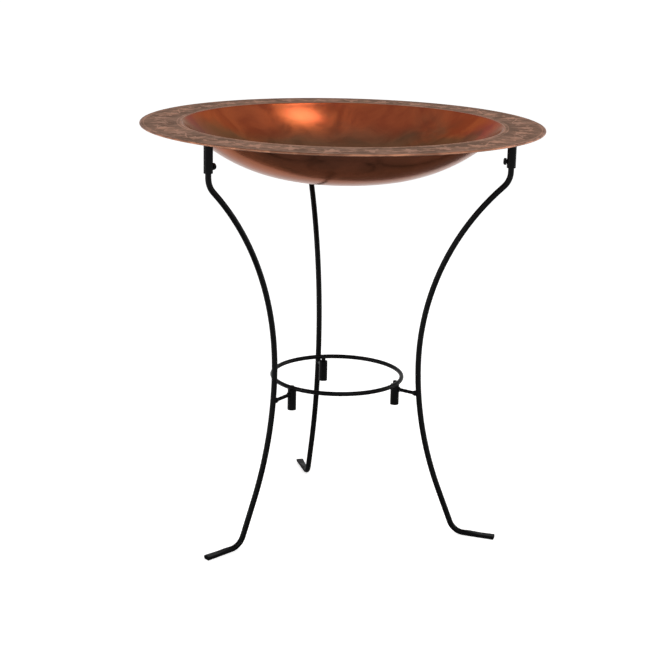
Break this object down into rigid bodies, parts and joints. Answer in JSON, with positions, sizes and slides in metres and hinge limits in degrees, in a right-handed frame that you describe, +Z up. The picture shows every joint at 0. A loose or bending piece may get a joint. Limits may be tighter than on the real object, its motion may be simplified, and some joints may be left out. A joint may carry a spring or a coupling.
{
  "type": "bird bath",
  "caption": "Shallow copper dish with a wide flat rim, lifting off a knock-down stand of bent black rod with clamped legs and a small lower ring.",
  "frame": {"origin": "on the floor, under the middle of the dish", "axes": "+Z up; +Y towards leg 1; legs 2 and 3 follow at 120 degree steps, anticlockwise from above"},
  "size_m": [0.546, 0.546, 0.5715],
  "materials": {
    "copper": "antiqued and polished copper, embossed rim",
    "stand_black": "semi-gloss black powder coat",
    "screw_black": "black oxide"
  },
  "bodies": {
    "stand_head": {"top_ring": "stand_black", "leg_sleeve_1": "stand_black", "leg_sleeve_2": "stand_black", "leg_sleeve_3": "stand_black"},
    "dish": {"bowl": "copper"},
    "lower_shelf": {"lower_ring": "stand_black", "ring_peg_1": "stand_black", "ring_peg_2": "stand_black", "ring_peg_3": "stand_black"},
    "leg_unit_1": {"leg_1": "stand_black", "leg_arm_1": "stand_black", "peg_socket_1": "stand_black"},
    "screw_unit_1": {"clamp_screw_1": "screw_black"},
    "leg_unit_2": {"leg_2": "stand_black", "leg_arm_2": "stand_black", "peg_socket_2": "stand_black"},
    "screw_unit_2": {"clamp_screw_2": "screw_black"},
    "leg_unit_3": {"leg_3": "stand_black", "leg_arm_3": "stand_black", "peg_socket_3": "stand_black"},
    "screw_unit_3": {"clamp_screw_3": "screw_black"}
  },
  "joints": [
    {"name": "dish_lift", "type": "slide", "parent": "stand_head", "child": "dish", "axis": [0, 0, 1], "range_m": [0, 0.1]},
    {"name": "lower_ring_lift", "type": "slide", "parent": "stand_head", "child": "lower_shelf", "axis": [0, 0, 1], "range_m": [0, 0.035]},
    {"name": "leg_1_pull", "type": "slide", "parent": "stand_head", "child": "leg_unit_1", "axis": [0, 0, -1], "range_m": [0, 0.045]},
    {"name": "screw_1_turn", "type": "hinge", "parent": "stand_head", "child": "screw_unit_1", "pos_m": [0, 0.2325, 0.5337], "axis": [0, -1, 0], "range_deg": [0, 750]},
    {"name": "leg_2_pull", "type": "slide", "parent": "stand_head", "child": "leg_unit_2", "axis": [0, 0, -1], "range_m": [0, 0.045]},
    {"name": "screw_2_turn", "type": "hinge", "parent": "stand_head", "child": "screw_unit_2", "pos_m": [-0.20135, -0.11625, 0.5337], "axis": [0.866, 0.5, 0], "range_deg": [0, 750]},
    {"name": "leg_3_pull", "type": "slide", "parent": "stand_head", "child": "leg_unit_3", "axis": [0, 0, -1], "range_m": [0, 0.045]},
    {"name": "screw_3_turn", "type": "hinge", "parent": "stand_head", "child": "screw_unit_3", "pos_m": [0.20135, -0.11625, 0.5337], "axis": [-0.866, 0.5, 0], "range_deg": [0, 750]}
  ]
}
